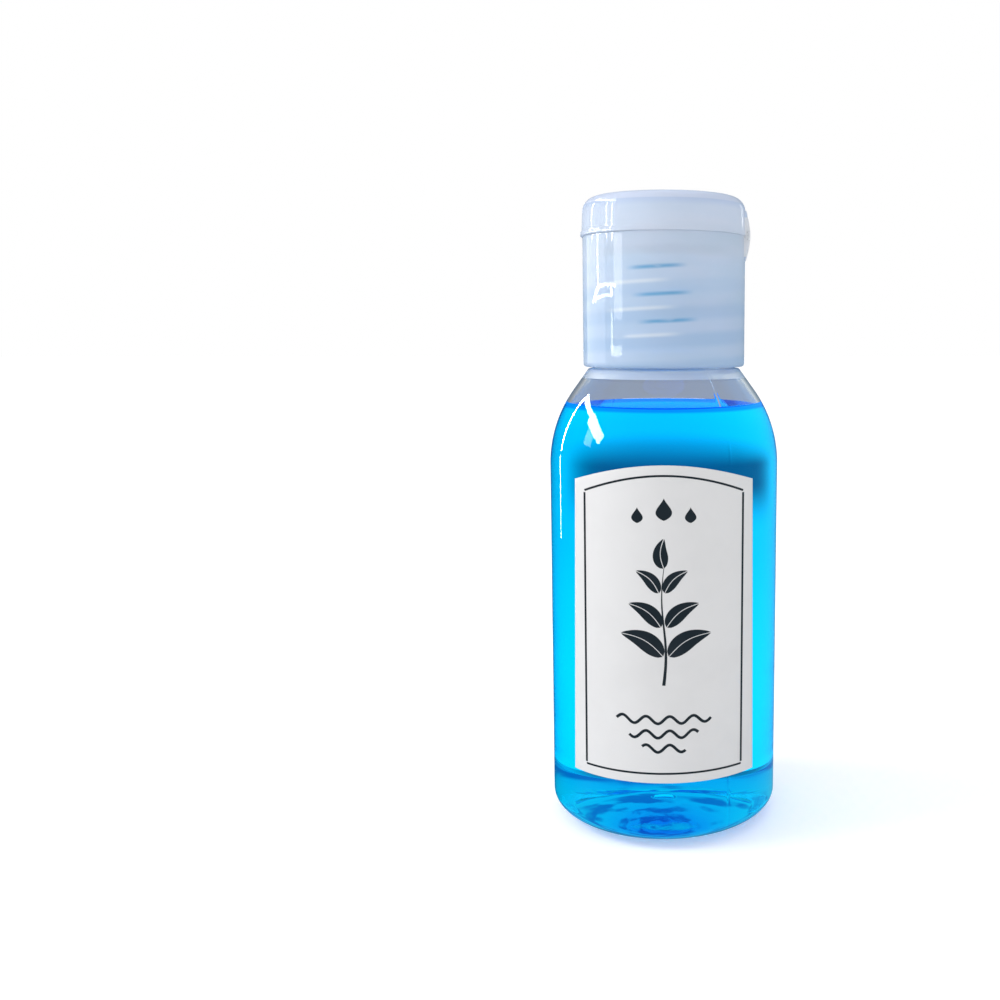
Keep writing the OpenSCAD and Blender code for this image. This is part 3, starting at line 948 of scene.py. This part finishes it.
def floor():
    """The pale floor that keeps the shadow; clear parts see it as a table with a painted pool of light and
    caustic, and the dim room beyond.
    """
    bpy.ops.mesh.primitive_plane_add(size=floor_w)
    made = bpy.context.object
    made.name = "floor"
    material, tree, shader = nodes_of("floor_white")
    shader.inputs["Base Color"].default_value = (0.88, 0.88, 0.88, 1)
    shader.inputs["Roughness"].default_value = 0.9
    shader.inputs["Specular IOR Level"].default_value = 0.0
    lift = add(tree, "ShaderNodeEmission", Color=white, Strength=floor_lift)
    bright = add(tree, "ShaderNodeAddShader", [(0, shader.outputs[0]), (1, lift.outputs[0])])
    place = add(tree, "ShaderNodeNewGeometry").outputs["Position"]
    reach = add(tree, "ShaderNodeVectorMath", [(0, place)], operation="LENGTH").outputs["Value"]
    # Painted light: a glow on the table near the foot, and a painted caustic spot, seen only through clear
    # parts.
    under = ramp(tree, reach, body_r, table_r, To_Min=near_glow, To_Max=far_glow)
    off = add(tree, "ShaderNodeVectorMath", [(0, place)], operation="DISTANCE")
    off.inputs[1].default_value = caustic_at
    caustic = ramp(tree, off.outputs["Value"], caustic_r, caustic_r / 2, To_Max=caustic_glow)
    table_lift = add(tree, "ShaderNodeEmission", [("Strength", calc(tree, "ADD", under, caustic))],
                     Color=white)
    table = add(tree, "ShaderNodeAddShader", [(0, shader.outputs[0]), (1, table_lift.outputs[0])])
    depths = blended(tree, ramp(tree, reach, room_r, 1.5 * room_r), room, far_room)
    far = add(tree, "ShaderNodeEmission", [("Color", depths)], Strength=1.0)
    dark = calc(tree, "MULTIPLY", ramp(tree, reach, table_r, table_r + table_blur), behind(tree, place))
    around = shader_between(tree, dark, table.outputs[0], far.outputs[0])
    mirrored = add(tree, "ShaderNodeEmission", [("Color", mirrored_colour(tree, place))], Strength=1.0)
    by_ray(tree, "Material Output", shader.outputs[0], mirrored.outputs[0], around, bright.outputs[0])
    made.data.materials.append(material)


def surround():
    """The white surround, dim where clear parts and mirrors look behind the bottle."""
    world = bpy.data.worlds.new("studio")
    bpy.context.scene.world = world
    world.use_nodes = True
    tree = world.node_tree
    light = tree.nodes["Background"]
    light.inputs["Color"].default_value = white
    light.inputs["Strength"].default_value = sky_glow
    seen = add(tree, "ShaderNodeBackground", Color=white, Strength=1.0)
    view = add(tree, "ShaderNodeTexCoord").outputs["Generated"]
    rise = add(tree, "ShaderNodeSeparateXYZ", [(0, view)]).outputs["Z"]
    dark = calc(tree, "MULTIPLY", ramp(tree, rise, 0.4, 0.1), behind(tree, view))
    ceiling = blended(tree, dark, white, far_room)
    through = add(tree, "ShaderNodeBackground", [("Color", ceiling)], Strength=1.0)
    mirrored = add(tree, "ShaderNodeBackground", [("Color", mirrored_colour(tree, view))], Strength=1.0)
    by_ray(tree, "World Output", light.outputs[0], mirrored.outputs[0], through.outputs[0], seen.outputs[0])


def lamp(name, low, high, width, glow, pieces=()):
    """Rectangular lamp between two places, facing the bottle: a light, or a highlight on some pieces."""
    middle = (low + high) / 2
    along = (high - low).normalized()
    back = (middle - lamp_target).normalized()
    back = (back - along * back.dot(along)).normalized()
    data = bpy.data.lights.new(name, "AREA")
    data.shape = "RECTANGLE"
    data.size, data.size_y = width, (high - low).length
    data.energy = glow * math.pi * data.size * data.size_y
    made = bpy.data.objects.new(name, data)
    bpy.context.scene.collection.objects.link(made)
    turned_to = Matrix((along.cross(back), along, back)).transposed().to_4x4()
    made.matrix_world = Matrix.Translation(middle) @ turned_to
    made.visible_camera = False
    made.visible_diffuse = not pieces
    made.visible_glossy = bool(pieces)
    made.visible_transmission = False
    if pieces:
        seen_on = bpy.data.collections.new(name)
        for part in pieces:
            seen_on.objects.link(part)
        made.light_linking.receiver_collection = seen_on


def toward(turn, rise, reach):
    """Place at a turn to the left of the front and a rise, in degrees, seen from the bottle's middle."""
    turn, rise = math.radians(turn), math.radians(rise)
    flat = Vector((-math.sin(turn), -math.cos(turn), 0))
    return lamp_target + reach * (flat * math.cos(rise) + Vector((0, 0, math.sin(rise))))


camera_place, camera_dip = (0, -0.139412, 0.061301), 0.126
lens_share, lens_shift = 1.1, (-0.1638, -0.0255)


def camera():
    """The camera, at the place and angle that the catalogue picture was taken from."""
    data = bpy.data.cameras.new("camera")
    data.sensor_width = 36
    data.lens = lens_share * data.sensor_width
    data.shift_x, data.shift_y = lens_shift
    made = bpy.data.objects.new("camera", data)
    bpy.context.scene.collection.objects.link(made)
    made.location = camera_place
    made.rotation_mode = "XYZ"
    made.rotation_euler = (math.pi / 2 - camera_dip, 0, 0)
    data.clip_start = 0.005
    bpy.context.scene.camera = made


floor()
surround()
camera()
soft_reach, body_reach, closure_reach = 0.8, 0.2, 0.5
lamp_target = Vector((0, 0, 50 * MM))
lamp("soft_left", toward(84, 25, soft_reach), toward(84, 49, soft_reach), 0.35, 8.0)
for name, low, high, width, glow in (
        ("window_post", (66, 17), (92, 28), 0.03, 60),
        ("window_head", (90, 28.5), (121, 30), 0.012, 60),
        ("window_back_post", (122, 0), (121, 29), 0.009, 60),
        ("window_pane", (82, 10), (82, 22), 0.035, 9),
        ("table_strip", (123, -14), (123, -2), 0.006, 14)):
    lamp(name, toward(*low, body_reach), toward(*high, body_reach), width, glow, (bottle, label))
lamp_target = Vector((0, 0, 61.3 * MM))
for name, low, high, width, glow in (
        ("lid_window_left", (119, 6), (121, 24), 0.012, 60),
        ("lid_window_right", (86, 6), (86, 24), 0.012, 60),
        ("lid_window_right_outer", (76, 6), (76, 24), 0.012, 50),
        ("lid_window_top", (76, 33), (130, 33), 0.07, 20),
        ("lid_window_foot", (119, 7.5), (76, 7.5), 0.007, 60),
        ("side_wall", (114, -3), (114, 7.5), 0.45, 2.6),
        ("skirt_line", (105, 3.2), (105, 6.5), 0.016, 60),
        ("skirt_pane", (66, 1), (66, 7.5), 0.12, 8),
        ("skirt_window_top", (107, 3.03), (69, 3.14), 0.0016, 45),
        ("skirt_window_foot", (119, 2.12), (74, 2.55), 0.0018, 30),
        ("skirt_window_left", (115, 2.28), (102, 3.2), 0.004, 60),
        ("skirt_window_right", (78, 2.55), (78, 3.14), 0.035, 50),
        ("corner_upright", (77, -1.0), (77, 1.4), 0.03, 14),
        ("corner_foot", (79, -1.0), (60, -1.0), 0.006, 14),
        ("right_post", (-142, 8), (-142, 24), 0.012, 14)):
    lamp(name, toward(*low, closure_reach), toward(*high, closure_reach), width, glow,
         (closure_base, lid, living_hinge))
bpy.context.scene.view_settings.view_transform = "Standard"
bpy.context.scene.cycles.max_bounces = 32
bpy.context.scene.cycles.transmission_bounces = 32
bpy.context.scene.cycles.glossy_bounces = 32
